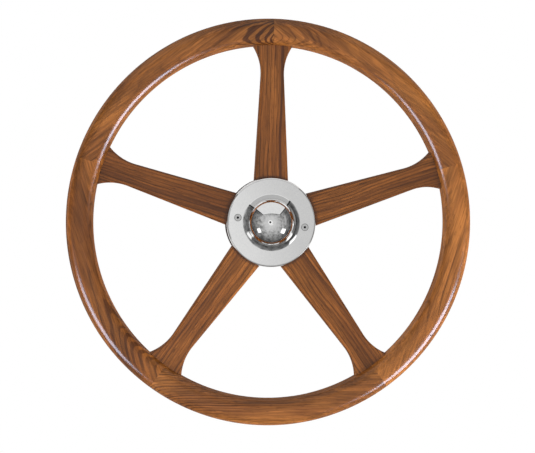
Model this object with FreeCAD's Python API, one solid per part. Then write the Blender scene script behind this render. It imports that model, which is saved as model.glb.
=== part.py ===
import FreeCAD
import Part
import math
import os

# A five-spoke teak steering wheel for a small boat, with a polished stainless hub.
# The wheel's axis lies along Y and its front looks towards -Y, with one spoke straight up.
# The origin is on the axis, on the seat of the shaft's nut. The rim and the spokes have
# their middle plane there too.
# Lengths are in millimetres and angles in degrees. An angle is counted from +X towards +Z,
# and "forward" is a distance from the middle plane towards the front, which is -Y.

Vector = FreeCAD.Vector
ORIGIN = Vector(0, 0, 0)
FORWARD = Vector(0, -1, 0)

# Wood: the rim, glued up from one segment for each gap between two spokes
spoke_count = 5
first_spoke_angle = 90.0
rim_outer_diameter = 450.0
rim_width = 30.0
rim_depth = 28.0
rim_rounding = 11.5
glue_line = 0.05

# Wood: the dowel that ties two rim segments together, outside the spoke's tenon
dowel_diameter = 8.0
dowel_length = 40.0
dowel_inset = 9.5
dowel_end_gap = 0.5

# Wood: the spokes
spoke_thickness_at_hub = 18.0
spoke_thickness_at_rim = 12.0
spoke_width_at_hub = 36.6
spoke_neck_width = 25.2
spoke_flare_length = 30.7
spoke_flare_radius = 54.0
spoke_root_inset = 5.0
spoke_seat_margin = 2.4
spoke_edge_rounding = 2.5
tenon_width = 18.0
tenon_thickness = 8.0
tenon_to_dowel = 3.5
tenon_end_gap = 0.5
tenon_root = 6.0

# Steel: the front flange, a polished ring that covers the ends of the spokes
flange_diameter = 99.0
front_flange_thickness = 3.0
front_flange_rounding = 2.4
flange_back_break = 0.4

# Steel: the hub body, with its rear flange, its boss and the sleeve through the wood
rear_flange_thickness = 5.0
rear_flange_rounding = 1.5
boss_root_diameter = 50.0
boss_end_diameter = 44.0
boss_root_fillet = 3.0
boss_end_rounding = 1.5
sleeve_step = 3.0
register_wall = 2.0
register_clearance = 0.05
register_relief = 0.4
well_diameter = 42.0
well_mouth_break = 0.5

# Steel: the tapered bore for the shaft, one in twelve on diameter, with its keyway
taper_large_diameter = 19.05
taper_length = 30.0
taper_ratio = 12.0
taper_mouth_break = 0.6
key_width = 4.76
key_depth = 2.4

# Steel: the bell-shaped cap over the shaft nut, with its spigot and seal. Its lip stands on the
# front flange, and washer_room is what its spigot leaves free over the nut's seat
cap_diameter = 63.0
cap_lip = 0.8
cap_brim_slope = 27.0
cap_cove_slope = 40.0
cap_dome_slope = 59.0
cap_dome_radius = 30.6
cap_shoulder = 0.3
cap_cove_radius = 1.0
cap_wall = 2.2
washer_room = 2.5
spigot_wall = 4.0
spigot_clearance = 0.2
spigot_end_break = 0.6
seal_section = 2.5
seal_clearance = 0.05
seal_from_end = 3.5
groove_width = 3.0

# Steel: two machine screws from the front, into the rear flange
front_screw_inset = 12.0
front_screw_angle = 172.5
front_screw_count = 2
front_screw_diameter = 4.0
front_screw_end_gap = 1.0
front_screw_head_diameter = 8.0
front_screw_hexagon = 2.5
front_screw_socket_depth = 1.6
front_screw_clearance = 0.25

# Steel: one wood screw into each spoke from behind
rear_screw_inset = 9.5
rear_screw_diameter = 4.0
rear_screw_cover = 3.0
rear_screw_head_diameter = 8.4
rear_screw_point = 3.5
rear_screw_slot = 1.0
rear_screw_slot_depth = 1.4

# Steel: what the screws of both kinds share
screw_rim = 0.2
thread_fit = 0.02
hole_fit = 0.05

# How far a cutting shape runs past the faces of the piece that it cuts
overshoot = 1.0

# Sizes that follow from the ones above
spoke_pitch = 360.0 / spoke_count
rim_outer_radius = rim_outer_diameter / 2
rim_inner_radius = rim_outer_radius - rim_width
spoke_neck_radius = rim_inner_radius - spoke_flare_length
tenon_length = rim_width - dowel_inset - dowel_diameter / 2 - tenon_to_dowel
flange_radius = flange_diameter / 2
wood_front = spoke_thickness_at_hub / 2
wood_back = -wood_front
front_face = wood_front + front_flange_thickness
rear_face = wood_back - rear_flange_thickness
nut_seat = 0.0
boss_end = nut_seat - taper_length
register_diameter = well_diameter + 2 * register_wall
sleeve_diameter = register_diameter + 2 * sleeve_step
spigot_radius = well_diameter / 2 - spigot_clearance
spigot_end = nut_seat + washer_room
seal_plane = spigot_end + seal_from_end
front_screw_at = flange_radius - front_screw_inset
front_screw_tip = rear_face + front_screw_end_gap
rear_screw_at = flange_radius - rear_screw_inset
rear_screw_tip = wood_front - rear_screw_cover


def point(radius, forward):
    """A point of a turned piece's half section."""
    return Vector(radius, -forward, 0)


def rounded_outline(corners):
    """A closed outline through corners of a half section, given as (radius, forward, rounding)."""
    edges = []
    last_end = None
    first_start = None
    count = len(corners)
    for index, (radius, forward, rounding) in enumerate(corners):
        here = point(radius, forward)
        before = point(*corners[index - 1][:2])
        after = point(*corners[(index + 1) % count][:2])
        if rounding > 0:
            to_before = (before - here).normalize()
            to_after = (after - here).normalize()
            half_angle = to_before.getAngle(to_after) / 2
            setback = rounding / math.tan(half_angle)
            start = here + to_before * setback
            end = here + to_after * setback
            towards_centre = (to_before + to_after).normalize()
            middle = here + towards_centre * (rounding / math.sin(half_angle) - rounding)
        else:
            start = end = here
        if last_end is None:
            first_start = start
        elif last_end.distanceToPoint(start) > 1e-7:
            edges.append(Part.makeLine(last_end, start))
        if rounding > 0:
            edges.append(Part.Arc(start, middle, end).toShape())
        last_end = end
    if last_end.distanceToPoint(first_start) > 1e-7:
        edges.append(Part.makeLine(last_end, first_start))
    return Part.Wire(edges)


def turned(outline, degrees=360.0):
    """The solid that an outline sweeps about the wheel's axis."""
    return Part.Face(outline).revolve(ORIGIN, FORWARD, degrees)


def turned_to(shape, angle):
    """A copy of a shape that was modelled along +X, turned to an angle round the wheel."""
    copy = shape.copy()
    copy.rotate(ORIGIN, FORWARD, angle)
    return copy


def round_bar(radius, back, front, at_radius=0.0, at_angle=0.0):
    """A cylinder parallel to the wheel's axis, from one forward position to another."""
    bar = Part.makeCylinder(radius, front - back, Vector(at_radius, -back, 0), FORWARD)
    return turned_to(bar, at_angle)


def cone_bar(back_radius, front_radius, back, front):
    """A cone on the wheel's axis, from one forward position to another."""
    return Part.makeCone(back_radius, front_radius, front - back, Vector(0, -back, 0), FORWARD)


def one_solid(shape):
    """The only solid of a shape, with the seams between its flush faces removed."""
    solids = shape.removeSplitter().Solids
    if len(solids) != 1:
        raise ValueError("expected one solid and got %d" % len(solids))
    return solids[0]


# The rim
def rim_section(grow=0.0):
    """The rim's rounded section, made larger all round by grow."""
    inner = rim_inner_radius - grow
    outer = rim_outer_radius + grow
    half = rim_depth / 2 + grow
    rounding = rim_rounding + grow
    return rounded_outline(
        [
            (inner, -half, rounding),
            (outer, -half, rounding),
            (outer, half, rounding),
            (inner, half, rounding),
        ]
    )


def tenon_block(grow=0.0, end_gap=0.0):
    """The spoke's tenon, or with grow and end_gap the mortise that takes it."""
    start = rim_inner_radius - tenon_root
    length = tenon_root + tenon_length + end_gap
    width = tenon_width + 2 * grow
    thickness = tenon_thickness + 2 * grow
    return Part.makeBox(length, thickness, width, Vector(start, -thickness / 2, -width / 2))


def dowel_bar(grow=0.0, end_gap=0.0):
    """The dowel across a rim joint, or with grow and end_gap the hole that takes it."""
    radius = dowel_diameter / 2 + grow
    length = dowel_length + 2 * end_gap
    centre = rim_outer_radius - dowel_inset
    return Part.makeCylinder(radius, length, Vector(centre, 0, -length / 2), Vector(0, 0, 1))


def rim_segment():
    """One glued segment, from the joint at angle 0 to the next joint."""
    butt_gap = math.degrees(glue_line / 2 / rim_inner_radius)
    ring = turned(rim_section(), spoke_pitch - 2 * butt_gap)
    ring.rotate(ORIGIN, FORWARD, butt_gap)
    joint = tenon_block(glue_line, tenon_end_gap).fuse(dowel_bar(glue_line, dowel_end_gap))
    return one_solid(ring.cut(joint).cut(turned_to(joint, spoke_pitch)))


# The spokes
def side_of_spoke():
    """A spoke's straight side: its start at the flange, its end at the flare, its normal.

    The last value is the centre of the flare's arc, which the side runs into without a kink.
    """
    flare_centre = Vector(spoke_neck_radius, 0, spoke_neck_width / 2 + spoke_flare_radius)
    start = Vector(flange_radius, 0, spoke_width_at_hub / 2)
    to_centre = flare_centre - start
    reach = math.sqrt(to_centre.Length**2 - spoke_flare_radius**2)
    lean = math.atan2(to_centre.z, to_centre.x) - math.asin(spoke_flare_radius / to_centre.Length)
    along = Vector(math.cos(lean), 0, math.sin(lean))
    normal = Vector(-math.sin(lean), 0, math.cos(lean))
    return start, start + along * reach, normal, flare_centre


def seat_radius():
    """Where a spoke's flat seat ends, with its corners still under the flange."""
    return math.sqrt(flange_radius**2 - (spoke_width_at_hub / 2) ** 2) - spoke_seat_margin


def half_width(radius):
    """The spoke's half width on its straight stretch."""
    start, _, normal, _ = side_of_spoke()
    return start.z - (radius - start.x) * normal.x / normal.z


def mirrored(vector):
    """The same place on the spoke's other side."""
    return Vector(vector.x, vector.y, -vector.z)


def root_block():
    """The spoke's flat inner end: its share of the disc of wood under the flanges, and its seat.

    The disc's sector is mitred to its neighbours, and the seat runs out of it to the blade.
    """
    start, _, normal, _ = side_of_spoke()
    half_pitch = math.radians(spoke_pitch / 2)
    bisector = Vector(math.cos(half_pitch), 0, math.sin(half_pitch))
    notch = bisector * (start.dot(normal) / bisector.dot(normal))
    end = seat_radius()
    seat_corner = Vector(end, 0, half_width(end))
    outline = [notch, seat_corner, mirrored(seat_corner), mirrored(notch), notch]
    seat = Part.Face(Part.makePolygon(outline))
    seat.translate(Vector(0, -wood_front, 0))
    seat = seat.extrude(Vector(0, spoke_thickness_at_hub, 0))
    disc_radius = flange_radius - spoke_root_inset
    disc = rounded_outline(
        [
            (0, wood_back, 0),
            (disc_radius, wood_back, 0),
            (disc_radius, wood_front, 0),
            (0, wood_front, 0),
        ]
    )
    return turned_to(turned(disc, spoke_pitch), -spoke_pitch / 2).fuse(seat)


def blade_end():
    """How far the blade runs into the rim before its end is scribed to it."""
    return rim_inner_radius + tenon_length / 2


def half_thickness(radius):
    """The blade's half thickness, which tapers from its seat to the rim."""
    start = seat_radius()
    share = (radius - start) / (rim_inner_radius - start)
    return (spoke_thickness_at_hub + share * (spoke_thickness_at_rim - spoke_thickness_at_hub)) / 2


def plain_blade():
    """The blade with square edges: its outline from the front, cut by its outline from the side."""
    _, flare_start, _, flare_centre = side_of_spoke()
    inner = seat_radius()
    outer = blade_end()
    inner_corner = Vector(inner, 0, half_width(inner))
    rise = math.sqrt(spoke_flare_radius**2 - (outer - flare_centre.x) ** 2)
    outer_corner = Vector(outer, 0, flare_centre.z - rise)
    middle_lean = (
        math.atan2(flare_start.z - flare_centre.z, flare_start.x - flare_centre.x)
        + math.atan2(outer_corner.z - flare_centre.z, outer_corner.x - flare_centre.x)
    ) / 2
    towards_arc = Vector(math.cos(middle_lean), 0, math.sin(middle_lean))
    on_flare = flare_centre + towards_arc * spoke_flare_radius
    edges = [
        Part.makeLine(inner_corner, flare_start),
        Part.Arc(flare_start, on_flare, outer_corner).toShape(),
        Part.makeLine(outer_corner, mirrored(outer_corner)),
        Part.Arc(mirrored(outer_corner), mirrored(on_flare), mirrored(flare_start)).toShape(),
        Part.makeLine(mirrored(flare_start), mirrored(inner_corner)),
        Part.makeLine(mirrored(inner_corner), inner_corner),
    ]
    face = Part.Face(Part.Wire(edges))
    face.translate(Vector(0, -wood_front, 0))
    from_front = face.extrude(Vector(0, spoke_thickness_at_hub, 0))
    half_in = half_thickness(inner)
    half_out = half_thickness(outer)
    reach = 2 * outer_corner.z
    side = Part.makePolygon(
        [
            Vector(inner, -half_in, -reach),
            Vector(outer, -half_out, -reach),
            Vector(outer, half_out, -reach),
            Vector(inner, half_in, -reach),
            Vector(inner, -half_in, -reach),
        ]
    )
    from_side = Part.Face(side).extrude(Vector(0, 0, 2 * reach))
    return one_solid(from_front.common(from_side))


def rounded_blade():
    """The blade with its four long edges rounded."""
    blade = plain_blade()
    long_edges = [edge for edge in blade.Edges if edge.BoundBox.XLength > spoke_edge_rounding]
    return one_solid(blade.makeFillet(spoke_edge_rounding, long_edges))


def clearance_hole(angle):
    """The hole through the wood for a machine screw, at an angle from the spoke's own."""
    radius = front_screw_diameter / 2 + front_screw_clearance
    back = wood_back - overshoot
    front = wood_front + overshoot
    return round_bar(radius, back, front, front_screw_at, angle)


def spoke(angle):
    """One spoke, modelled along +X, with the holes that it has at its place round the wheel."""
    body = root_block().fuse(rounded_blade())
    body = body.cut(turned(rim_section(glue_line)))
    body = body.fuse(tenon_block())
    sleeve_hole = sleeve_diameter / 2 + glue_line
    body = body.cut(round_bar(sleeve_hole, wood_back - overshoot, wood_front + overshoot))
    slit = Part.makeBox(
        flange_radius,
        spoke_thickness_at_hub + 2 * overshoot,
        glue_line,
        Vector(0, wood_back - overshoot, -glue_line / 2),
    )
    for side in (-1, 1):
        body = body.cut(turned_to(slit, side * spoke_pitch / 2))
    body = body.cut(rear_screw_shank(hole_fit))
    for screw_angle in front_screw_angles():
        body = body.cut(clearance_hole(screw_angle - angle))
    return one_solid(body)


# The hub
def taper_radius(forward):
    """The radius of the tapered bore, which is widest at the boss's end."""
    return (taper_large_diameter - (forward - boss_end) / taper_ratio) / 2


def keyway():
    """The slot for the shaft's key, as deep all along the taper."""
    back = boss_end - overshoot
    front = nut_seat + overshoot
    side = Part.makePolygon(
        [
            Vector(-key_width / 2, -back, 0),
            Vector(-key_width / 2, -front, 0),
            Vector(-key_width / 2, -front, taper_radius(front) + key_depth),
            Vector(-key_width / 2, -back, taper_radius(back) + key_depth),
            Vector(-key_width / 2, -back, 0),
        ]
    )
    return Part.Face(side).extrude(Vector(key_width, 0, 0))


def rear_screw_hole():
    """The countersunk hole in the rear flange for a wood screw, on its circle at angle 0."""
    shank_radius = rear_screw_diameter / 2 + hole_fit
    head_radius = rear_screw_head_diameter / 2 + hole_fit
    sink_top = rear_face + screw_rim
    sink_foot = sink_top + head_radius - shank_radius
    hole = round_bar(shank_radius, rear_face, wood_back + overshoot)
    hole = hole.fuse(cone_bar(head_radius, shank_radius, sink_top, sink_foot))
    hole = hole.fuse(round_bar(head_radius, rear_face - overshoot, sink_top))
    hole.translate(Vector(rear_screw_at, 0, 0))
    return hole


def front_screw_hole():
    """The countersunk hole in the front flange for a machine screw, on its circle at angle 0."""
    shank_radius = front_screw_diameter / 2 + hole_fit
    head_radius = front_screw_head_diameter / 2 + hole_fit
    sink_top = front_face - screw_rim
    sink_foot = sink_top - (head_radius - shank_radius)
    hole = round_bar(shank_radius, wood_front - overshoot, front_face)
    hole = hole.fuse(cone_bar(shank_radius, head_radius, sink_foot, sink_top))
    hole = hole.fuse(round_bar(head_radius, sink_top, front_face + overshoot))
    hole.translate(Vector(front_screw_at, 0, 0))
    return hole


def hub_body():
    """The turned hub: boss, rear flange, sleeve through the wood, nut well and tapered bore."""
    register_end = front_face - register_relief
    body = turned(
        rounded_outline(
            [
                (0, boss_end, 0),
                (boss_end_diameter / 2, boss_end, boss_end_rounding),
                (boss_root_diameter / 2, rear_face, boss_root_fillet),
                (flange_radius, rear_face, rear_flange_rounding),
                (flange_radius, wood_back, 0),
                (sleeve_diameter / 2, wood_back, 0),
                (sleeve_diameter / 2, wood_front, 0),
                (register_diameter / 2, wood_front, 0),
                (register_diameter / 2, register_end, 0),
                (0, register_end, 0),
            ]
        )
    )
    well = well_diameter / 2
    body = body.cut(round_bar(well, nut_seat, front_face))
    mouth = well_mouth_break
    body = body.cut(cone_bar(well, well + 2 * mouth, register_end - mouth, register_end + mouth))
    back = boss_end - overshoot
    front = nut_seat + overshoot
    body = body.cut(cone_bar(taper_radius(back), taper_radius(front), back, front))
    lead_in = taper_mouth_break
    wide = taper_radius(boss_end) + lead_in
    body = body.cut(cone_bar(wide + lead_in, wide - lead_in, boss_end - lead_in, boss_end + lead_in))
    body = body.cut(keyway())
    for angle in spoke_angles():
        body = body.cut(turned_to(rear_screw_hole(), angle))
    thread = front_screw_diameter / 2 + thread_fit
    for angle in front_screw_angles():
        hole = round_bar(thread, rear_face - overshoot, wood_back + overshoot)
        hole.translate(Vector(front_screw_at, 0, 0))
        body = body.cut(turned_to(hole, angle))
    return one_solid(body)


def front_flange():
    """The polished ring in front of the spokes, with its two countersunk holes."""
    bore = register_diameter / 2 + register_clearance
    ring = turned(
        rounded_outline(
            [
                (bore, wood_front, 0),
                (flange_radius - flange_back_break, wood_front, 0),
                (flange_radius, wood_front + flange_back_break, 0),
                (flange_radius, front_face, front_flange_rounding),
                (bore, front_face, 0),
            ]
        )
    )
    for angle in front_screw_angles():
        ring = ring.cut(turned_to(front_screw_hole(), angle))
    return one_solid(ring)


# The cap
def on_slope(radius, slope):
    """The radial and forward parts of a curve's radius where it slopes by that angle."""
    lean = math.radians(slope)
    return Vector(radius * math.sin(lean), -radius * math.cos(lean), 0)


def hollow_arc(start, radius, slope_from, slope_to):
    """A hollow arc that climbs from start towards the axis, from one slope to a steeper one."""
    centre = start + on_slope(radius, slope_from)
    middle = centre - on_slope(radius, (slope_from + slope_to) / 2)
    end = centre - on_slope(radius, slope_to)
    return Part.Arc(start, middle, end).toShape(), end


def centre_cap():
    """The bell-shaped cap: a flared brim, a small cove and a dome, hollow over the shaft nut."""
    lip_foot = point(cap_diameter / 2, front_face)
    lip_top = point(cap_diameter / 2, front_face + cap_lip)
    dome_edge_radius = on_slope(cap_dome_radius, cap_dome_slope).x
    cove_share = on_slope(1, cap_dome_slope).x - on_slope(1, cap_cove_slope).x
    brim_share = on_slope(1, cap_cove_slope).x - on_slope(1, cap_brim_slope).x
    brim_width = cap_diameter / 2 - dome_edge_radius - cap_shoulder - cap_cove_radius * cove_share
    brim_radius = brim_width / brim_share
    brim, brim_end = hollow_arc(lip_top, brim_radius, cap_brim_slope, cap_cove_slope)
    cove, cove_end = hollow_arc(brim_end, cap_cove_radius, cap_cove_slope, cap_dome_slope)
    shoulder_rise = cap_shoulder * math.tan(math.radians(cap_dome_slope))
    dome_edge = cove_end + Vector(-cap_shoulder, -shoulder_rise, 0)
    shoulder = Part.makeLine(cove_end, dome_edge)
    dome_centre = Vector(0, dome_edge.y - on_slope(cap_dome_radius, cap_dome_slope).y, 0)
    dome_middle = dome_centre + on_slope(cap_dome_radius, cap_dome_slope / 2)
    dome_top = dome_centre + on_slope(cap_dome_radius, 0)
    dome = Part.Arc(dome_edge, dome_middle, dome_top).toShape()
    inner_radius = cap_dome_radius - cap_wall
    bore = spigot_radius - spigot_wall
    inner_slope = math.degrees(math.asin(bore / inner_radius))
    ceiling_top = dome_centre + on_slope(inner_radius, 0)
    ceiling_middle = dome_centre + on_slope(inner_radius, inner_slope / 2)
    ceiling_end = dome_centre + on_slope(inner_radius, inner_slope)
    ceiling = Part.Arc(ceiling_top, ceiling_middle, ceiling_end).toShape()
    groove_floor = well_diameter / 2 - seal_clearance - seal_section - hole_fit
    groove_front = seal_plane + groove_width / 2
    groove_back = seal_plane - groove_width / 2
    below = [
        lip_foot,
        point(spigot_radius, front_face),
        point(spigot_radius, groove_front),
        point(groove_floor, groove_front),
        point(groove_floor, groove_back),
        point(spigot_radius, groove_back),
        point(spigot_radius, spigot_end + spigot_end_break),
        point(spigot_radius - spigot_end_break, spigot_end),
        point(bore, spigot_end),
    ]
    edges = [Part.makeLine(dome_top, ceiling_top), ceiling, Part.makeLine(ceiling_end, below[-1])]
    edges += [Part.makeLine(below[i], below[i - 1]) for i in range(len(below) - 1, 0, -1)]
    edges += [Part.makeLine(lip_foot, lip_top), brim, cove, shoulder, dome]
    return one_solid(turned(Part.Wire(edges)))


def cap_seal():
    """The rubber ring in the spigot's groove, which holds the cap in the well."""
    section = seal_section / 2
    centre = well_diameter / 2 - seal_clearance - section
    return Part.makeTorus(centre, section, Vector(0, -seal_plane, 0), FORWARD)


# The screws
def front_screw_angles():
    """Where the machine screws stand round the wheel."""
    return [front_screw_angle + i * 360.0 / front_screw_count for i in range(front_screw_count)]


def spoke_angles():
    """Where the spokes, and the rim's joints, stand round the wheel."""
    return [first_spoke_angle + i * spoke_pitch for i in range(spoke_count)]


def front_screw():
    """A countersunk machine screw with a hexagon socket, on its circle at angle 0."""
    shank_radius = front_screw_diameter / 2
    head_radius = front_screw_head_diameter / 2
    head_top = front_face
    cone_top = head_top - screw_rim
    cone_foot = cone_top - (head_radius - shank_radius)
    screw = round_bar(head_radius, cone_top, head_top)
    screw = screw.fuse(cone_bar(shank_radius, head_radius, cone_foot, cone_top))
    screw = screw.fuse(round_bar(shank_radius, front_screw_tip, cone_foot))
    corner = Vector(front_screw_hexagon / 2 / math.cos(math.radians(30)), -head_top, 0)
    turns = [FreeCAD.Rotation(FORWARD, 60 * i) for i in range(7)]
    outline = Part.makePolygon([turn.multVec(corner) for turn in turns])
    socket = Part.Face(outline).extrude(Vector(0, front_screw_socket_depth, 0))
    screw = screw.cut(socket)
    screw.translate(Vector(front_screw_at, 0, 0))
    return one_solid(screw)


def rear_screw_shank(grow=0.0):
    """The shank and point of a wood screw, or with grow the hole that it cuts for itself."""
    radius = rear_screw_diameter / 2 + grow
    tip = rear_screw_tip + grow
    shoulder = tip - rear_screw_point
    shank = round_bar(radius, rear_face, shoulder)
    shank = shank.fuse(cone_bar(radius, 0, shoulder, tip))
    shank.translate(Vector(rear_screw_at, 0, 0))
    return shank


def rear_screw():
    """A countersunk wood screw with a cross slot, on its circle at angle 0."""
    shank_radius = rear_screw_diameter / 2
    head_radius = rear_screw_head_diameter / 2
    cone_top = rear_face + screw_rim
    cone_foot = cone_top + (head_radius - shank_radius)
    head = round_bar(head_radius, rear_face, cone_top)
    head = head.fuse(cone_bar(head_radius, shank_radius, cone_top, cone_foot))
    arm = head_radius
    for length, width in ((arm, rear_screw_slot), (rear_screw_slot, arm)):
        slot = Part.makeBox(
            length,
            rear_screw_slot_depth,
            width,
            Vector(-length / 2, -rear_face - rear_screw_slot_depth, -width / 2),
        )
        head = head.cut(slot)
    head.translate(Vector(rear_screw_at, 0, 0))
    slots = round_bar(arm / 2, rear_face, rear_face + rear_screw_slot_depth, rear_screw_at)
    return one_solid(head.fuse(rear_screw_shank().cut(slots)))


def write(name, shape):
    """Saves one piece under its own name."""
    shape.exportStep(os.path.join("parts", name + ".step"))
    print("%-16s %9.0f mm3" % (name, shape.Volume))


def main():
    os.makedirs("parts", exist_ok=True)
    segment = rim_segment()
    dowel = dowel_bar()
    wood_screw = rear_screw()
    for number, angle in enumerate(spoke_angles(), start=1):
        write("rim_segment_%d" % number, turned_to(segment, angle))
        write("rim_dowel_%d" % number, turned_to(dowel, angle))
        write("spoke_%d" % number, turned_to(spoke(angle), angle))
        write("rear_screw_%d" % number, turned_to(wood_screw, angle))
    write("hub_body", hub_body())
    write("front_flange", front_flange())
    write("centre_cap", centre_cap())
    write("cap_seal", cap_seal())
    machine_screw = front_screw()
    for number, angle in enumerate(front_screw_angles(), start=1):
        write("front_screw_%d" % number, turned_to(machine_screw, angle))


main()
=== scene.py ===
# %% [markdown]
# # A teak steering wheel for a small boat
# The wheel has a glued rim of five boards, five flat spokes that flare where they meet the rim,
# and a polished steel hub with a bell-shaped cap. Its exact solids come from the CAD frame, in
# metres, with the axis along Y and the front towards -Y. This lesson keeps their shapes as they
# are, gives each of them its finish, and lights the wheel as in a studio.

# %% Load the exact solids
import math
from collections import namedtuple

import bpy
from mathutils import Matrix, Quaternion, Vector


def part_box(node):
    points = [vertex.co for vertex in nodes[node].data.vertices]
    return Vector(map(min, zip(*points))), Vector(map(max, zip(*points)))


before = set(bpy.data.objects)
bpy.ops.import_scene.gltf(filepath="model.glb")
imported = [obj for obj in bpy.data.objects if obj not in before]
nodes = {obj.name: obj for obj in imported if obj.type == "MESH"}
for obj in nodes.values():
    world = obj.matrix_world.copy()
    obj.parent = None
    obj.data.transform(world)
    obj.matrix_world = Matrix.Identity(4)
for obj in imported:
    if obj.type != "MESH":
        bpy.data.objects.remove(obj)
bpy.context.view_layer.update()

MILLIMETRE = 0.001

# %% [markdown]
# ## Start from clean material slots
# The solids arrive with plain materials. Each piece of this wheel gets one finish of its own, so
# a small helper swaps whatever is in the slots for that finish. An operator acts on all that is
# selected, and the solids arrive selected, so a second helper lets go of everything first.

# %% Two small helpers
def finish_with(thing, material):
    """Gives a piece one material all over."""
    thing.data.materials.clear()
    thing.data.materials.append(material)


def select_nothing():
    """Leaves object mode ready for a new piece."""
    if bpy.context.mode != "OBJECT":
        bpy.ops.object.mode_set(mode="OBJECT")
    bpy.ops.object.select_all(action="DESELECT")


select_nothing()
print("selected:", len(bpy.context.selected_objects))

# %% [markdown]
# ## Directions from the hub
# The camera, the lamps and all that the steel mirrors are placed by the direction in which they
# lie from the hub. Some are easiest to name as a compass would, by an angle to the right and one
# up. Others lie round the wheel: they lean off its axis, towards a point like one on a clock.

# %% Name a direction in two ways
def off_straight(azimuth, elevation):
    """A direction in front of the wheel, by its angle to the right and up."""
    across = math.radians(azimuth)
    up = math.radians(elevation)
    return Vector((math.sin(across) * math.cos(up), -math.cos(across) * math.cos(up), math.sin(up)))


def from_hub(off_axis, round_wheel):
    """A direction by its angle off the axis in front, and its direction round the wheel."""
    lean = math.radians(off_axis)
    turn = math.radians(round_wheel)
    return Vector((math.sin(lean) * math.cos(turn), -math.cos(lean), math.sin(lean) * math.sin(turn)))


print("straight ahead is", tuple(off_straight(0, 0)))

# %% [markdown]
# ## The camera
# The photograph was taken with a long lens from about two metres, a little to the wheel's left
# and almost level with its hub. The distance matters: it decides how much the cap, which stands
# nearest to the lens, grows against the rim. The wheel's centre isn't in the middle of the
# frame, and a very small shift puts it there without turning the camera.

# %% Place the camera
FRAME_WIDTH = 535
FRAME_HEIGHT = 453
HUB_PIXEL = (270.23, 222.25)
VIEW_AZIMUTH = -6.52
VIEW_ELEVATION = 0.80
VIEW_ROLL = 0.75
VIEW_DISTANCE = 1.938
LENS_LENGTH = 117.7
SENSOR_WIDTH = 36.0
FARTHEST_SEEN = 100.0

towards_camera = off_straight(VIEW_AZIMUTH, VIEW_ELEVATION)
select_nothing()
bpy.ops.object.camera_add(location=towards_camera * VIEW_DISTANCE)
camera = bpy.context.object
camera.name = "camera"
camera.rotation_mode = "QUATERNION"
camera.rotation_quaternion = towards_camera.to_track_quat("Z", "Y")
camera.rotation_quaternion @= Quaternion((0, 0, 1), math.radians(VIEW_ROLL))
camera.data.lens = LENS_LENGTH
camera.data.sensor_width = SENSOR_WIDTH
camera.data.shift_x = (FRAME_WIDTH / 2 - HUB_PIXEL[0]) / FRAME_WIDTH
camera.data.shift_y = (HUB_PIXEL[1] - FRAME_HEIGHT / 2) / FRAME_WIDTH
camera.data.clip_end = FARTHEST_SEEN
bpy.context.scene.camera = camera
bpy.context.scene.view_settings.view_transform = "Standard"
print("the camera stands", VIEW_DISTANCE, "m from the hub, with a lens of", LENS_LENGTH, "mm")

# %% [markdown]
# ## A short way to wire nodes
# The room and every finish below are node trees. These helpers add one node each, so that a
# finish reads as a list of what it is made of: a noise, a stretch along the grain, a blend. A
# noise keeps mostly between 0.3 and 0.7, so it is that stretch which gets spread over a range.

# %% Helpers for nodes
def node(tree, kind, **settings):
    """Adds a node and sets its properties."""
    made = tree.nodes.new(kind)
    for key, value in settings.items():
        setattr(made, key, value)
    return made


def feed(tree, socket, source):
    """Gives a socket either a plain value or the output of another node."""
    if isinstance(source, bpy.types.NodeSocket):
        tree.links.new(source, socket)
    else:
        socket.default_value = source


def noise(tree, vector, lumps, detail=2.0, roughness=0.5, output="Fac"):
    """A noise of a given number of lumps per unit."""
    made = node(tree, "ShaderNodeTexNoise")
    feed(tree, made.inputs["Vector"], vector)
    made.inputs["Scale"].default_value = lumps
    made.inputs["Detail"].default_value = detail
    made.inputs["Roughness"].default_value = roughness
    return made.outputs[output]


def vector_step(tree, operation, first, second=(0.0, 0.0, 0.0), output="Vector"):
    """One step of arithmetic on vectors."""
    made = node(tree, "ShaderNodeVectorMath", operation=operation)
    feed(tree, made.inputs[0], first)
    feed(tree, made.inputs["Scale"] if operation == "SCALE" else made.inputs[1], second)
    return made.outputs[output]


def number_step(tree, operation, first, second=0.0):
    """One step of arithmetic on numbers."""
    made = node(tree, "ShaderNodeMath", operation=operation)
    feed(tree, made.inputs[0], first)
    feed(tree, made.inputs[1], second)
    return made.outputs["Value"]


def between(tree, value, low, high, out_low=0.0, out_high=1.0, smooth=True):
    """Spreads the stretch from low to high over the outputs."""
    made = node(tree, "ShaderNodeMapRange")
    made.interpolation_type = "SMOOTHSTEP" if smooth else "LINEAR"
    feed(tree, made.inputs["Value"], value)
    feed(tree, made.inputs["From Min"], low)
    feed(tree, made.inputs["From Max"], high)
    feed(tree, made.inputs["To Min"], out_low)
    feed(tree, made.inputs["To Max"], out_high)
    return made.outputs["Result"]


def blend_colours(tree, share, first, second, mode="MIX"):
    """Mixes two colours."""
    made = node(tree, "ShaderNodeMix", data_type="RGBA", blend_type=mode)
    feed(tree, made.inputs["Factor"], share)
    feed(tree, made.inputs["A"], first)
    feed(tree, made.inputs["B"], second)
    return made.outputs["Result"]


def grey(tree, value):
    """A grey colour from a value."""
    made = node(tree, "ShaderNodeCombineColor")
    for channel in ("Red", "Green", "Blue"):
        feed(tree, made.inputs[channel], value)
    return made.outputs["Color"]


# %% [markdown]
# The finishes share a few longer phrases: a new material with its shader, where a point lies on
# its object and how far that is from the wheel's axis, a bump, and a dark mark on top of all.
# Where a finish follows the size of a round solid, its radius is read from the solid's box.

# %% Phrases that the finishes share
def new_material(name):
    """A material with nodes. Returns it with its tree and its shader."""
    material = bpy.data.materials.new(name)
    material.use_nodes = True
    return material, material.node_tree, material.node_tree.nodes["Principled BSDF"]


def place_on(tree):
    """Where a point lies, in its object's coordinates."""
    return node(tree, "ShaderNodeTexCoord").outputs["Object"]


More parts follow.
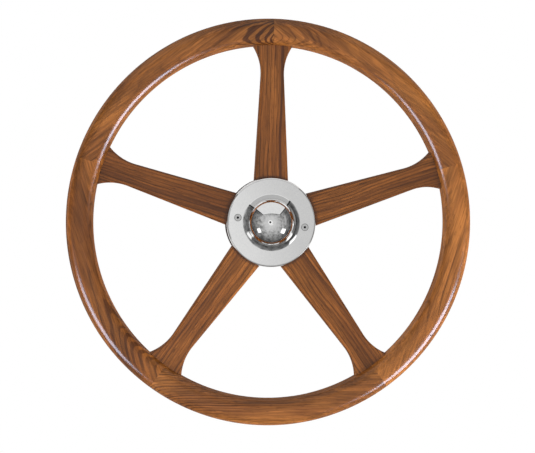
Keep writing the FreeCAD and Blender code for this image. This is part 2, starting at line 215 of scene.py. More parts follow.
def from_axis(tree, place):
    """How far a point lies from a line through the origin along Y."""
    flat = vector_step(tree, "MULTIPLY", place, (1.0, 0.0, 1.0))
    return vector_step(tree, "LENGTH", flat, output="Value")


def bump(tree, shader, height, strength, distance):
    """Roughens a surface's light, but not its shape."""
    relief = node(tree, "ShaderNodeBump")
    relief.inputs["Strength"].default_value = strength
    relief.inputs["Distance"].default_value = distance
    feed(tree, relief.inputs["Height"], height)
    feed(tree, shader.inputs["Normal"], relief.outputs["Normal"])


def darken(material, where, colour, share):
    """Lays a dark mark over a finish, where a value is 1."""
    tree = material.node_tree
    shader = tree.nodes["Principled BSDF"]
    before = shader.inputs["Base Color"].links[0].from_socket
    marked = blend_colours(tree, number_step(tree, "MULTIPLY", where, share), before, colour)
    feed(tree, shader.inputs["Base Color"], marked)


def radius_of(name):
    """The radius of a round solid whose axis lies along Y."""
    low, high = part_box(name)
    return (high.x - low.x) / 2


print("the plate's radius is", round(radius_of("front_flange"), 4), "m")

# %% [markdown]
# ## The studio
# Polished steel has no look of its own: it shows the room. The dome of the cap in the photograph
# shows a room that is bright round the lens and dark to the sides, and the white backdrop behind
# the wheel. The world carries that room, by the angle between a direction and a point just below
# the lens. Towards its sides the room is full of things, which a noise stands for.

# %% Set out the room
BRIGHT_SPOT = off_straight(-3.0, -3.0)
# Degrees off the bright spot, and how bright the room is there
ROOM_STEPS = (
    (180, 1.00), (108, 1.00), (102, 0.85), (98, 0.16), (88, 0.10), (76, 0.17), (62, 0.25),
    (50, 0.40), (38, 0.55), (29, 0.68), (20, 0.77), (10.5, 0.80), (8.6, 1.06), (0, 1.06),
)
HALF_TURN = 180.0
CALM_WITHIN = 12.0
RESTLESS_FROM = 60.0
CLUTTER_LUMPS = 5.0
CLUTTER_DETAIL = 5.0
CLUTTER_ROUGHNESS = 0.68
CLUTTER_DARKEST = 0.45
CLUTTER_BRIGHTEST = 1.75

world = bpy.data.worlds.new("studio_room")
bpy.context.scene.world = world
world.use_nodes = True
room = world.node_tree
room.nodes.clear()
direction = node(room, "ShaderNodeTexCoord").outputs["Generated"]


def angle_from(middle):
    """How many degrees a direction lies off another."""
    cosine = vector_step(room, "DOT_PRODUCT", direction, middle, "Value")
    return number_step(room, "MULTIPLY", number_step(room, "ARCCOSINE", cosine), math.degrees(1.0))


def gradient(share, steps):
    """A colour ramp with grey steps at positions from 0 to 1."""
    ramp = node(room, "ShaderNodeValToRGB")
    stops = ramp.color_ramp.elements
    while len(stops) < len(steps):
        stops.new(0.5)
    for stop, (position, light) in zip(stops, steps):
        stop.position = position
        stop.color = (light, light, light, 1.0)
    feed(room, ramp.inputs["Fac"], share)
    return ramp.outputs["Color"]


off_spot = angle_from(BRIGHT_SPOT)
level = gradient(
    number_step(room, "DIVIDE", off_spot, HALF_TURN),
    [(angle / HALF_TURN, light) for angle, light in reversed(ROOM_STEPS)],
)
clutter = noise(room, direction, CLUTTER_LUMPS, CLUTTER_DETAIL, CLUTTER_ROUGHNESS)
clutter = between(room, clutter, 0.32, 0.68, CLUTTER_DARKEST, CLUTTER_BRIGHTEST)
unrest = between(room, off_spot, CALM_WITHIN, RESTLESS_FROM)
calm = number_step(room, "SUBTRACT", 1.0, unrest)
swing = number_step(room, "MULTIPLY", unrest, clutter)
level = vector_step(room, "SCALE", level, number_step(room, "ADD", calm, swing))
print("the room has", len(ROOM_STEPS), "steps of light")

# %% [markdown]
# Four flat things stand in that room: two soft boxes below the wheel's sides, a tall pale screen
# to its right, and a white card that hangs level overhead in a dark frame. A flat thing is seen
# in the steel as a patch with straight edges. The world can hold it as such a patch: a direction
# is followed to the plane that the thing lies in, and the patch is where it arrives inside it.

# %% Hang the soft boxes, the screen and the card
BARELY_AHEAD = 0.02
WELL_AHEAD = 0.06
# The direction, half width, half height, softness of the edge, cover and brightness of each
FACING_THINGS = {
    "screen": (off_straight(60, 8), 0.09, 0.32, 0.07, 0.8, 0.62),
    "left soft box": (from_hub(65, 215), 0.12, 0.14, 0.04, 1.0, 2.1),
    "right soft box": (from_hub(63, 325), 0.15, 0.15, 0.04, 1.0, 2.3),
}
# The left, right, front and back ends, softness of the edge, cover and brightness of each
OVERHEAD_THINGS = {
    "dark frame": ((-1.19, 1.12, -1.40, 0.20), 0.02, 0.9, 0.02),
    "white card": ((-1.07, 1.00, -1.32, 0.08), 0.01, 1.0, 0.97),
}
TO_THE_RIGHT = Vector((1, 0, 0))
TO_THE_BACK = Vector((0, 1, 0))
UPWARDS = Vector((0, 0, 1))


def patch(middle, across, up, reach, edge):
    """1 on a flat thing and 0 off it.

    middle is the direction straight to its plane. reach is its ends across and up, in units of
    how far off that plane lies.
    """
    left, right, low, high = reach
    ahead = vector_step(room, "DOT_PRODUCT", direction, middle, "Value")
    inside = between(room, ahead, BARELY_AHEAD, WELL_AHEAD)
    ahead = number_step(room, "MAXIMUM", ahead, BARELY_AHEAD)
    for axis, start, stop in ((across, left, right), (up, low, high)):
        place = vector_step(room, "DOT_PRODUCT", direction, axis, "Value")
        place = number_step(room, "DIVIDE", place, ahead)
        past_start = between(room, place, start - edge, start + edge)
        before_stop = between(room, place, stop - edge, stop + edge, 1.0, 0.0)
        inside = number_step(room, "MULTIPLY", inside, past_start)
        inside = number_step(room, "MULTIPLY", inside, before_stop)
    return inside


def facing_patch(middle, half_width, half_height, edge):
    """A flat thing that looks at the hub."""
    across = middle.cross(UPWARDS).normalized()
    up = across.cross(middle)
    return patch(middle, across, up, (-half_width, half_width, -half_height, half_height), edge)


def hang(inside, light, cover=1.0):
    """Puts a thing of one brightness into the room. Less cover lets the room show through it."""
    share = number_step(room, "MULTIPLY", inside, cover)
    return blend_colours(room, share, level, grey(room, light))


for middle, half_width, half_height, edge, cover, light in FACING_THINGS.values():
    level = hang(facing_patch(middle, half_width, half_height, edge), light, cover)
for reach, edge, cover, light in OVERHEAD_THINGS.values():
    level = hang(patch(UPWARDS, TO_THE_RIGHT, TO_THE_BACK, reach, edge), light, cover)
print("in the room hang:", ", ".join([*FACING_THINGS, *OVERHEAD_THINGS]))

# %% [markdown]
# The lens looks into the steel as well. It shows there as a dark dot in a bright ring, which is
# the lit front of the camera. To the camera itself, the backdrop is white all over.

# %% Show the lens and the backdrop
LENS_TO = 4.2
LENS_EDGE = 0.8
LENS_LIGHT = 0.03
RING_TO = 9.0
RING_EDGE = 2.0
RING_LIGHT = 1.30
WHITE = (1.0, 1.0, 1.0, 1.0)

off_lens = angle_from(towards_camera)
level = hang(between(room, off_lens, RING_TO - RING_EDGE, RING_TO, 1.0, 0.0), RING_LIGHT)
level = hang(between(room, off_lens, LENS_TO, LENS_TO + LENS_EDGE, 1.0, 0.0), LENS_LIGHT)

room_light = node(room, "ShaderNodeBackground")
feed(room, room_light.inputs["Color"], level)
backdrop = node(room, "ShaderNodeBackground")
backdrop.inputs["Color"].default_value = WHITE
choose = node(room, "ShaderNodeMixShader")
feed(room, choose.inputs["Fac"], node(room, "ShaderNodeLightPath").outputs["Is Camera Ray"])
feed(room, choose.inputs[1], room_light.outputs["Background"])
feed(room, choose.inputs[2], backdrop.outputs["Background"])
feed(room, node(room, "ShaderNodeOutputWorld").inputs["Surface"], choose.outputs["Shader"])
print("the room is held by", len(room.nodes), "nodes")

# %% [markdown]
# The wood gets most of its light from real lamps near the places of the two soft boxes, and a
# third, weak one behind the right side lights the rim's outer edge. The long bright streaks on
# the rim come from two wide lamps that are seen in the varnish only, so that the streaks can be
# as wide and as bright as they are in the photograph while the wood keeps its own tone. Light
# linking keeps all of them off the steel, which already has the soft boxes in the world, with
# the soft edges that they have there, and keeps the two wide ones off the flat spokes.

# %% Stand the lamps
LAMP_DISTANCE = 1.6
LAMP_TINT = (0.95, 0.98, 1.06)
SHINE_TINT = (0.80, 0.95, 1.26)
# The angle off the axis, direction round the wheel, width, height and radiance of each
FILL_LAMPS = {
    "lamp_left": (65, 207, 0.66, 0.72, 11.5),
    "lamp_right": (64, 335, 0.66, 0.72, 18.5),
    "lamp_behind": (106, 342, 0.50, 1.00, 7.0),
}
SHINE_LAMPS = {
    "shine_left": (65, 216, 0.74, 0.80, 19.0),
    "shine_right": (64, 325, 0.80, 0.84, 25.0),
}


def soft_lamp(name, off_axis, round_wheel, width, height, radiance):
    """A rectangular lamp that looks at the hub and isn't seen by the camera."""
    place = from_hub(off_axis, round_wheel) * LAMP_DISTANCE
    select_nothing()
    bpy.ops.object.light_add(type="AREA", location=place)
    lamp = bpy.context.object
    lamp.name = name
    lamp.data.shape = "RECTANGLE"
    lamp.data.size = width
    lamp.data.size_y = height
    lamp.data.energy = radiance * math.pi * width * height
    lamp.rotation_mode = "QUATERNION"
    lamp.rotation_quaternion = place.to_track_quat("Z", "Y")
    lamp.visible_camera = False
    print(name, "radiance", radiance)
    return lamp


lit_by_lamps = bpy.data.collections.new("lit_by_lamps")
shining = bpy.data.collections.new("shining")
for name, solid in nodes.items():
    if name.startswith(("rim_", "spoke_")):
        lit_by_lamps.objects.link(solid)
    if name.startswith("rim_"):
        shining.objects.link(solid)
for name, values in FILL_LAMPS.items():
    lamp = soft_lamp(name, *values)
    lamp.data.color = LAMP_TINT
    lamp.visible_glossy = False
    lamp.light_linking.receiver_collection = lit_by_lamps
for name, values in SHINE_LAMPS.items():
    lamp = soft_lamp(name, *values)
    lamp.data.color = SHINE_TINT
    lamp.visible_diffuse = False
    lamp.light_linking.receiver_collection = shining

# %% [markdown]
# The wheel is held up by its shaft, so the floor lies well below it. Its paint keeps the wheel's
# soft shadow, and to the camera it fades into the white backdrop with its distance. It isn't
# seen in the steel, where the photograph has dark room.

# %% Lay the floor
FLOOR_HEIGHT = -1.15
FLOOR_SIZE = 40.0
FLOOR_GREY = (0.86, 0.86, 0.86, 1.0)
FLOOR_ROUGHNESS = 0.9
WHITE_SHARE_NEAR = 0.72
FADE_FROM = 1.2
FADE_TO = 3.2

select_nothing()
bpy.ops.mesh.primitive_plane_add(size=FLOOR_SIZE, location=(0.0, 0.0, FLOOR_HEIGHT))
bpy.ops.object.transform_apply(location=True)
floor = bpy.context.object
floor.name = "studio_floor"
floor.visible_glossy = False
floor_paint, tree, paint = new_material("floor_paint")
paint.inputs["Base Color"].default_value = FLOOR_GREY
paint.inputs["Roughness"].default_value = FLOOR_ROUGHNESS
on_floor = vector_step(tree, "MULTIPLY", place_on(tree), (1.0, 1.0, 0.0))
away = vector_step(tree, "LENGTH", on_floor, output="Value")
fade = between(tree, away, FADE_FROM, FADE_TO, WHITE_SHARE_NEAR, 1.0)
seen = node(tree, "ShaderNodeLightPath").outputs["Is Camera Ray"]
white = node(tree, "ShaderNodeEmission")
mixed = node(tree, "ShaderNodeMixShader")
feed(tree, mixed.inputs["Fac"], number_step(tree, "MULTIPLY", seen, fade))
feed(tree, mixed.inputs[1], paint.outputs["BSDF"])
feed(tree, mixed.inputs[2], white.outputs["Emission"])
feed(tree, tree.nodes["Material Output"].inputs["Surface"], mixed.outputs["Shader"])
finish_with(floor, floor_paint)
lit_by_lamps.objects.link(floor)
print("the floor lies", -FLOOR_HEIGHT, "m below the hub")

# %% [markdown]
# ## Teak
# Every board of the wheel is a straight piece of timber that was sawn to shape, so its figure
# runs straight through the solid and is cut open by the rounded surface. That is how the arcs
# and tongues on the rim come about. A solid texture does the same: it is worked out from where a
# point lies in the board, and the surface only decides which part of it is seen.
#
# A board is described by ten values:
#
# - heart: where the tree's heart lies, seen along the grain, in millimetres from the wheel's
#   axis, across the board and towards the back
# - lean: how far the rings run out of the board along it
# - ring_width: in millimetres
# - late_share: how much of a ring is late wood
# - streaks: how dark the late wood is
# - fill: how much whole rings differ in tone
# - strong: where along the board the figure is strongest, and how far that reaches, in
#   millimetres
# - tone and warmth: how light the board is, and how far it leans to red
# - seed: what sets its noise apart from the other boards'

# %% Describe a board
Board = namedtuple("Board", "heart lean ring_width late_share streaks fill strong tone warmth seed")
print("a board is described by:", ", ".join(Board._fields))

# %% [markdown]
# The coarsest layer is the growth rings, nested shells round the tree's heart. Each has a tone
# of its own and ends in a line of dark late wood, thick in some boards and thin in others. The
# grain wanders a little along the board, and the rings wander with it.
#
# A layer of noise is given by two numbers: how far it is squeezed along the board, which draws
# its lumps out along the grain, and how many lumps lie in a metre across the board.

# %% Write the growth rings
SLOW_WANDER = (0.3, 26.0)
FINE_WANDER = (0.3, 110.0)
SLOW_WANDER_REACH = 0.012
FINE_WANDER_REACH = 0.0016
LONGEST_LATE = 1.4
SHORTEST_LATE = 0.5
LATE_RISE = 0.30
LATE_END = 0.09
PALEST_LATE = 0.45


def grain_noise(tree, place, layer, detail=2.0, roughness=0.5, output="Fac"):
    """A noise that is drawn out along the grain."""
    squeeze, lumps = layer
    drawn_out = vector_step(tree, "MULTIPLY", place, (squeeze, 1.0, 1.0))
    return noise(tree, drawn_out, lumps, detail, roughness, output)


def wandering(tree, along, own):
    """Bends straight grain a little, slowly over its length and finely on top."""
    bent = along
    for layer, reach in ((SLOW_WANDER, SLOW_WANDER_REACH), (FINE_WANDER, FINE_WANDER_REACH)):
        drift = grain_noise(tree, own, layer, output="Color")
        drift = vector_step(tree, "SUBTRACT", drift, (0.5, 0.5, 0.5))
        drift = vector_step(tree, "MULTIPLY", drift, (0.0, reach, reach))
        bent = vector_step(tree, "ADD", bent, drift)
    return bent


def growth_rings(tree, bent, board):
    """Where the late wood is, how dark it is in its ring, and the tone of that whole ring."""
    heart = (0.0, board.heart[1] * MILLIMETRE, board.heart[0] * MILLIMETRE)
    from_heart = vector_step(tree, "SUBTRACT", bent, heart)
    across = vector_step(tree, "MULTIPLY", from_heart, (0.0, 1.0, 1.0))
    reach = vector_step(tree, "LENGTH", across, output="Value")
    run_out = vector_step(tree, "DOT_PRODUCT", bent, (board.lean, 0.0, 0.0), "Value")
    rings = number_step(tree, "ADD", reach, run_out)
    rings = number_step(tree, "DIVIDE", rings, board.ring_width * MILLIMETRE)
    in_ring = number_step(tree, "FRACT", rings)

    ring_number = node(tree, "ShaderNodeCombineXYZ")
    feed(tree, ring_number.inputs["X"], number_step(tree, "SUBTRACT", rings, in_ring))
    feed(tree, ring_number.inputs["Y"], board.seed)
    chance = node(tree, "ShaderNodeTexWhiteNoise", noise_dimensions="3D")
    feed(tree, chance.inputs["Vector"], ring_number.outputs["Vector"])
    chances = node(tree, "ShaderNodeSeparateColor")
    feed(tree, chances.inputs["Color"], chance.outputs["Color"])

    earliest = 1 - board.late_share * LONGEST_LATE
    latest = 1 - board.late_share * SHORTEST_LATE
    late_from = between(tree, chances.outputs["Red"], 0.0, 1.0, earliest, latest)
    late_at_full = number_step(tree, "ADD", late_from, board.late_share * LATE_RISE)
    late = between(tree, in_ring, late_from, late_at_full)
    late = number_step(tree, "MAXIMUM", late, between(tree, in_ring, 0.0, LATE_END, 1.0, 0.0))
    darkness = between(tree, chances.outputs["Green"], 0.0, 1.0, PALEST_LATE, 1.0)
    ring_tone = between(tree, chances.outputs["Blue"], 0.0, 1.0, 1.0 - board.fill, 1.0)
    return late, darkness, ring_tone


# %% [markdown]
# A tree doesn't draw its rings evenly. The late wood is paler in patches, and each board has a
# stretch where its figure stands out, and fades from there towards its ends.

# %% Make the figure uneven
PATCHES = (0.35, 16.0)
PALEST_PATCH = 0.55
STRONG_CORE = 0.25
WEAKEST_FIGURE = 0.42
FULL_CORE = 0.30
FULL_TO = 0.62
FULL_FIGURE = 0.95


def uneven(tree, late, darkness, along, own, board):
    """How dark the late wood is drawn, ring by ring, patch by patch and along the board."""
    patches = grain_noise(tree, own, PATCHES)
    patches = between(tree, patches, 0.36, 0.56, PALEST_PATCH, 1.0)
    darkness = number_step(tree, "MULTIPLY", darkness, patches)

    middle, reach = (length * MILLIMETRE for length in board.strong)
    place = vector_step(tree, "DOT_PRODUCT", along, (1.0, 0.0, 0.0), "Value")
    off_middle = number_step(tree, "ABSOLUTE", number_step(tree, "SUBTRACT", place, middle))
    strength = between(tree, off_middle, reach * STRONG_CORE, reach, 1.0, WEAKEST_FIGURE)
    darkness = number_step(tree, "MULTIPLY", darkness, strength)
    in_full = between(tree, off_middle, reach * FULL_CORE, reach * FULL_TO, FULL_FIGURE, 0.0)
    return number_step(tree, "MULTIPLY", late, number_step(tree, "MAXIMUM", darkness, in_full))


# %% [markdown]
# Over the rings lie broad clouds of warmer and duller wood, then bands and fine threads along
# the grain, and short dark pores.
#
# The varnish is a clear coat over the whole. It is rubbed down, so its edges don't turn to a
# mirror as fresh varnish would: the coat gives way where the Fresnel share of the light would
# pass a few percent. The wood under it stands a little open, but the varnish itself is smooth.

# %% Write the wood's colour and its varnish
GOLDEN_TEAK = (0.400, 0.143, 0.030, 1.0)
PLAIN_TEAK = (0.270, 0.091, 0.0195, 1.0)
DARK_TEAK = (0.060, 0.019, 0.007, 1.0)
PORE_BROWN = (0.045, 0.016, 0.007, 1.0)
CLOUDS = (0.25, 34.0)
BANDS = (0.03, 260.0)
THREADS = (0.05, 800.0)
PORES = (0.07, 1500.0)
GRAIN_DARKEST = 0.76
GRAIN_LIGHTEST = 1.24
PORE_SHARE = 0.6
WOOD_ROUGHNESS = 0.6
GRAIN_RELIEF = 0.15
GRAIN_DEPTH = 0.2 * MILLIMETRE
VARNISH_ROUGHNESS = 0.22
VARNISH_IOR = 1.36
MOST_MIRRORED = 0.030


def wood_colour(tree, late, ring_tone, own, board):
    """The colour of a board. Returns it with the threads and the pores, which have some relief."""
    clouds = grain_noise(tree, own, CLOUDS, 3.0, 0.55)
    ground = blend_colours(tree, between(tree, clouds, 0.36, 0.64), PLAIN_TEAK, GOLDEN_TEAK)
    ground = blend_colours(tree, 1.0, ground, grey(tree, ring_tone), "MULTIPLY")
    figured = blend_colours(tree, number_step(tree, "MULTIPLY", late, board.streaks), ground, DARK_TEAK)

    bands = grain_noise(tree, own, BANDS, roughness=0.6)
    threads = grain_noise(tree, own, THREADS, roughness=0.6)
    banded = between(tree, bands, 0.30, 0.70, GRAIN_DARKEST, GRAIN_LIGHTEST)
    threaded = between(tree, threads, 0.28, 0.72, GRAIN_DARKEST, GRAIN_LIGHTEST)
    grain = number_step(tree, "MULTIPLY", banded, threaded)
    grained = blend_colours(tree, 1.0, figured, grey(tree, grain), "MULTIPLY")
    in_pore = between(tree, grain_noise(tree, own, PORES, 1.0), 0.64, 0.72)
    pored = blend_colours(tree, number_step(tree, "MULTIPLY", in_pore, PORE_SHARE), grained, PORE_BROWN)
    tone = (board.tone * board.warmth, board.tone, board.tone / board.warmth, 1.0)
    return blend_colours(tree, 1.0, pored, tone, "MULTIPLY"), threads, in_pore


def varnish(tree, shader):
    """A rubbed clear coat."""
    shader.inputs["Coat Roughness"].default_value = VARNISH_ROUGHNESS
    shader.inputs["Coat IOR"].default_value = VARNISH_IOR
    smooth = node(tree, "ShaderNodeNewGeometry")
    feed(tree, shader.inputs["Coat Normal"], smooth.outputs["Normal"])
    mirrored = node(tree, "ShaderNodeFresnel")
    mirrored.inputs["IOR"].default_value = VARNISH_IOR
    share = number_step(tree, "DIVIDE", MOST_MIRRORED, mirrored.outputs["Fac"])
    feed(tree, shader.inputs["Coat Weight"], number_step(tree, "MINIMUM", share, 1.0))


# %% [markdown]
# A board's material turns the wheel's coordinates until X runs along its grain, and lays the
# layers over each other in them. A board can have one dark streak along it as well, given by its
# place across the board and its half width, in millimetres, and how dark it is.

# %% Put a board together
SEED_STEP = Vector((1.7, 0.9, 1.3))
STREAK_CORE = 0.3


def teak_board(name, turn, board, streak=None):
    """The varnished teak of one board, whose grain lies at an angle round the wheel."""
    material, tree, shader = new_material(name)
    turned = node(tree, "ShaderNodeMapping")
    feed(tree, turned.inputs["Vector"], place_on(tree))
    turned.inputs["Rotation"].default_value = (0.0, math.radians(turn), 0.0)
    along = turned.outputs["Vector"]
    own = vector_step(tree, "ADD", along, SEED_STEP * board.seed)
    bent = wandering(tree, along, own)
    late, darkness, ring_tone = growth_rings(tree, bent, board)
    late = uneven(tree, late, darkness, along, own, board)
    colour, threads, in_pore = wood_colour(tree, late, ring_tone, own, board)
    feed(tree, shader.inputs["Base Color"], colour)
    shader.inputs["Roughness"].default_value = WOOD_ROUGHNESS
    shader.inputs["Specular IOR Level"].default_value = 0.0
    bump(tree, shader, number_step(tree, "SUBTRACT", threads, in_pore), GRAIN_RELIEF, GRAIN_DEPTH)
    varnish(tree, shader)
    if streak:
        middle, half_width, darkest = streak
        across = vector_step(tree, "DOT_PRODUCT", bent, (0.0, 0.0, 1.0), "Value")
        off_middle = number_step(tree, "SUBTRACT", across, middle * MILLIMETRE)
        off_middle = number_step(tree, "ABSOLUTE", off_middle)
        edge = half_width * MILLIMETRE
        in_streak = between(tree, off_middle, edge * STREAK_CORE, edge, 1.0, 0.0)
        darken(material, in_streak, DARK_TEAK, darkest)
    return material


# %% [markdown]
# The rim's boards differ as boards do. The tables give each its own values, in the order in
# which the boards follow each other round the wheel from the top spoke to the left. A rim board
# lies about 208 mm below the axis in its own coordinates, and a heart far behind it gives the
# nested tongues of a board sawn flat. The rounded rim cuts them open.

# %% Finish the rim
SPOKE_COUNT = 5
SPOKE_PITCH = 360.0 / SPOKE_COUNT
FIRST_SPOKE = 90.0
RIGHT_ANGLE = 90.0
RIM_BOARDS = (
    Board((-250, 175), -0.05, 2.2, 0.34, 0.90, 0.35, (-130, 110), 0.63, 1.02, 1),
    Board((-256, 120), 0.03, 3.0, 0.40, 0.65, 0.35, (60, 120), 0.60, 1.06, 2),
    Board((-110, 20), 0.01, 2.6, 0.30, 0.70, 0.15, (-110, 200), 0.65, 1.00, 3),
    Board((-300, 60), -0.02, 3.6, 0.25, 0.45, 0.15, (0, 60), 0.78, 1.00, 4),
    Board((-252, 185), 0.04, 1.9, 0.36, 0.48, 0.18, (115, 100), 0.74, 1.00, 5),
)
for index, board in enumerate(RIM_BOARDS):
    middle = FIRST_SPOKE + SPOKE_PITCH * (index + 0.5)
    name = "rim_segment_%d" % (index + 1)
    teak = teak_board("teak_" + name, middle + RIGHT_ANGLE, board)
    finish_with(nodes[name], teak)
    finish_with(nodes["rim_dowel_%d" % (index + 1)], teak)
    print(name, "tone", board.tone)

# %% [markdown]
# A pin was driven into the rim at the lower right, and its filled hole shows as a dark dot. The
# filler isn't varnished.

# %% Mark the pin
PIN_AT = (0.1800, -0.0124, -0.1237)
PIN_RADIUS = 1.1 * MILLIMETRE
PIN_CORE = 0.6
PIN_BLACK = (0.012, 0.008, 0.006, 1.0)
PIN_SHARE = 0.95

pinned = nodes["rim_segment_4"].data.materials[0]
tree = pinned.node_tree
off_pin = vector_step(tree, "SUBTRACT", place_on(tree), PIN_AT)
off_pin = vector_step(tree, "LENGTH", off_pin, output="Value")
in_pin = between(tree, off_pin, PIN_RADIUS * PIN_CORE, PIN_RADIUS, 1.0, 0.0)
darken(pinned, in_pin, PIN_BLACK, PIN_SHARE)
coat = tree.nodes["Principled BSDF"].inputs["Coat Weight"]
all_over = coat.links[0].from_socket
off_filler = number_step(tree, "SUBTRACT", 1.0, in_pin)
feed(tree, coat, number_step(tree, "MULTIPLY", all_over, off_filler))
print("the pin is marked at", PIN_AT)

# %% [markdown]
# The spokes are straight-grained, and each carries a darker streak along it. Where the wood runs
# under the plate, its colour is darkened in a narrow band of painted shade, the plate's shadow.

# %% Finish the spokes
PLATE_EDGE = radius_of("front_flange") + 0.1 * MILLIMETRE
PLATE_SHADE_REACH = 3.2 * MILLIMETRE
PLATE_SHADE_SHARE = 0.75
SPOKE_BOARDS = (
    Board((60, 40), 0.01, 3.6, 0.35, 0.55, 0.2, (0, 900), 0.59, 1.06, 6),
    Board((-80, 35), -0.012, 3.2, 0.35, 0.50, 0.2, (0, 900), 0.40, 1.12, 7),
    Board((70, -50), 0.01, 3.6, 0.35, 0.50, 0.2, (0, 900), 0.72, 1.04, 8),
    Board((-66, 45), -0.008, 3.0, 0.35, 0.50, 0.2, (0, 900), 0.51, 1.06, 9),
    Board((90, -38), 0.01, 3.2, 0.35, 0.50, 0.2, (0, 900), 0.46, 1.08, 10),
)
STREAKS = (
    (-10.0, 1.7, 0.85),
    (5.0, 3.0, 0.35),
    (-6.0, 4.0, 0.30),
    (7.0, 3.0, 0.35),
    (-4.0, 3.5, 0.30),
)
for index, (board, streak) in enumerate(zip(SPOKE_BOARDS, STREAKS)):
    name = "spoke_%d" % (index + 1)
    teak = teak_board("teak_" + name, FIRST_SPOKE + SPOKE_PITCH * index, board, streak)
    tree = teak.node_tree
    radius = from_axis(tree, place_on(tree))
    # Painted shade: the spokes' colour darkens in a band just outside the plate's edge.
    plate_shade = between(tree, radius, PLATE_EDGE, PLATE_EDGE + PLATE_SHADE_REACH, 1.0, 0.0)
    darken(teak, plate_shade, PORE_BROWN, PLATE_SHADE_SHARE)
    finish_with(nodes[name], teak)
    print(name, "tone", board.tone)

# %% [markdown]
# ## Polished steel
# The hub is turned stainless steel, polished but not a perfect mirror: the polisher's wheel
# leaves a slight haze, in smudges, and low waves that make its reflections wander. Roughness
# carries the haze, and a very low bump the waves. A fine speckle keeps its colour from being
# the same all over.

# %% Write the steel's material
SMUDGES = 60.0
SPECKLES = 420.0
WAVES = 70.0
WAVE_HEIGHT = 1.0 * MILLIMETRE
SPECKLE_TONE = Vector((0.94, 0.94, 0.945))
CLEAN_TONE = Vector((1.0, 1.0, 0.985))
HAZE_SPREAD = 0.3


def polished_steel(name, tint, haze, wave):
    """Turned and polished stainless steel."""
    material, tree, shader = new_material(name)
    place = place_on(tree)
    shader.inputs["Metallic"].default_value = 1.0
    smudges = noise(tree, place, SMUDGES, 4.0, 0.6)
    speckles = noise(tree, place, SPECKLES, 3.0, 0.7)
    colour = blend_colours(
        tree,
        between(tree, speckles, 0.3, 0.7),
        (*(SPECKLE_TONE * tint), 1.0),
        (*(CLEAN_TONE * tint), 1.0),
    )
    feed(tree, shader.inputs["Base Color"], colour)
    clearest = haze * (1 - HAZE_SPREAD)
    dullest = haze * (1 + HAZE_SPREAD)
    feed(tree, shader.inputs["Roughness"], between(tree, smudges, 0.3, 0.7, clearest, dullest))
    bump(tree, shader, noise(tree, place, WAVES, 1.0, 0.4), wave, WAVE_HEIGHT)
    return material


# %% [markdown]
# The steel of the cap's brim, the hollow between its dome and its lip, is made darker than the
# dome. The distance from the axis says where a point lies.

# %% Dull the cap's brim
CAP_RADIUS = radius_of("centre_cap")
BRIM_FROM = CAP_RADIUS - 5.2 * MILLIMETRE
BRIM_TO = CAP_RADIUS - 0.7 * MILLIMETRE
BRIM_SHARE = 0.62
INNER_EDGE = 0.2 * MILLIMETRE
OUTER_EDGE = 0.3 * MILLIMETRE
OUTER_SPILL = 0.1 * MILLIMETRE


def dull_brim(material):
    """Darkens a steel between two distances from the axis."""
    tree = material.node_tree
    shader = tree.nodes["Principled BSDF"]
    bright = shader.inputs["Base Color"].links[0].from_socket
    radius = from_axis(tree, place_on(tree))
    past_dome = between(tree, radius, BRIM_FROM - INNER_EDGE, BRIM_FROM + INNER_EDGE)
    before_lip = between(tree, radius, BRIM_TO - OUTER_EDGE, BRIM_TO + OUTER_SPILL, 1.0, 0.0)
    in_brim = number_step(tree, "MULTIPLY", past_dome, before_lip)
    share = between(tree, in_brim, 0.0, 1.0, 1.0, BRIM_SHARE, smooth=False)
    dulled = blend_colours(tree, 1.0, bright, grey(tree, share), "MULTIPLY")
    feed(tree, shader.inputs["Base Color"], dulled)


# %% [markdown]
# The hub and its plate share one steel. The cap's is a little brighter and clearer, because it
# was polished by itself.

# %% Finish the hub and the cap
# The tint, haze and wave of each
HUB_STEEL = (0.71, 0.07, 0.012)
CAP_STEEL = (0.74, 0.04, 0.008)

hub_steel = polished_steel("hub_steel", *HUB_STEEL)
cap_steel = polished_steel("cap_steel", *CAP_STEEL)
dull_brim(cap_steel)
finish_with(nodes["hub_body"], hub_steel)
finish_with(nodes["front_flange"], hub_steel)
finish_with(nodes["centre_cap"], cap_steel)
print("the cap's brim is dull from", round(BRIM_FROM, 4), "to", round(BRIM_TO, 4))

# %% [markdown]
# The screws' heads lie flush in the plate and are duller than it. Their sockets are painted black
# inside, partly as painted shade and partly as dark residue, and a ring of painted shade runs
# round each head, where it meets its hole. Each screw has its own axis, so each gets its own
# copy of the finish.

# %% Finish the screws
SCREW_STEEL = (0.55, 0.24, 0.05)
SOCKET_SHADE_BLACK = (0.010, 0.010, 0.011, 1.0)
SOCKET_FROM = 0.02 * MILLIMETRE
SOCKET_SHADE_FULL_AT = 0.10 * MILLIMETRE
RING_SHADE_FROM_RADIUS = 3.20 * MILLIMETRE
RING_SHADE_FULL_RADIUS = 3.88 * MILLIMETRE
RING_SHADE_SHARE = 0.75
TO_THE_FRONT = -1
FROM_BEHIND = 1


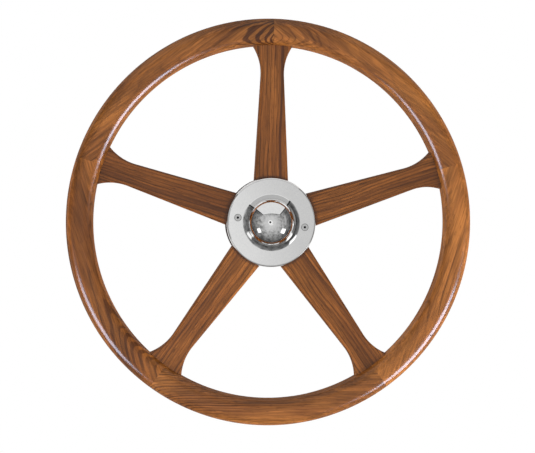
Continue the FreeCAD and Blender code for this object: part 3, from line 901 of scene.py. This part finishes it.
def screw_finish(name, facing):
    """The steel of one screw: dull on its face, with painted shade in its socket and round its head."""
    low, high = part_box(name)
    face = low.y if facing == TO_THE_FRONT else high.y
    axis = ((low.x + high.x) / 2, face, (low.z + high.z) / 2)
    steel = polished_steel("steel_" + name, *SCREW_STEEL)
    tree = steel.node_tree
    place = vector_step(tree, "SUBTRACT", place_on(tree), axis)
    depth = vector_step(tree, "DOT_PRODUCT", place, (0.0, -facing, 0.0), "Value")
    # Painted shade: black below the head's face in the socket, partly dark residue, and a dark ring
    # round the head's edge.
    socket = between(tree, depth, SOCKET_FROM, SOCKET_SHADE_FULL_AT)
    radius = from_axis(tree, place)
    ring_shade = between(tree, radius, RING_SHADE_FROM_RADIUS, RING_SHADE_FULL_RADIUS, 0.0, RING_SHADE_SHARE)
    darken(steel, number_step(tree, "MAXIMUM", socket, ring_shade), SOCKET_SHADE_BLACK, 1.0)
    finish_with(nodes[name], steel)
    print(name, "is finished on its axis at", round(axis[0], 4), round(axis[2], 4))


for name in nodes:
    if name.startswith("front_screw"):
        screw_finish(name, TO_THE_FRONT)
    elif name.startswith("rear_screw"):
        screw_finish(name, FROM_BEHIND)

# %% [markdown]
# ## Rubber
# The seal is a rubber ring on the cap's spigot, and it shows only when the cap is off. Rubber is
# black with a grey bloom in patches, duller where the bloom lies, and finely pitted.

# %% Finish the seal
RUBBER_BLACK = (0.014, 0.014, 0.015, 1.0)
RUBBER_BLOOM = (0.038, 0.037, 0.036, 1.0)
BLOOM_PATCHES = 350.0
CLEAN_ROUGHNESS = 0.45
BLOOM_ROUGHNESS = 0.7
PITS = 3000.0
PIT_RELIEF = 0.2
PIT_DEPTH = 0.05 * MILLIMETRE

rubber, tree, shader = new_material("seal_rubber")
place = place_on(tree)
bloom = between(tree, noise(tree, place, BLOOM_PATCHES, 3.0, 0.6), 0.35, 0.65)
feed(tree, shader.inputs["Base Color"], blend_colours(tree, bloom, RUBBER_BLACK, RUBBER_BLOOM))
dullness = between(tree, bloom, 0.0, 1.0, CLEAN_ROUGHNESS, BLOOM_ROUGHNESS, smooth=False)
feed(tree, shader.inputs["Roughness"], dullness)
bump(tree, shader, noise(tree, place, PITS), PIT_RELIEF, PIT_DEPTH)
finish_with(nodes["cap_seal"], rubber)
print("the seal is finished in", rubber.name)
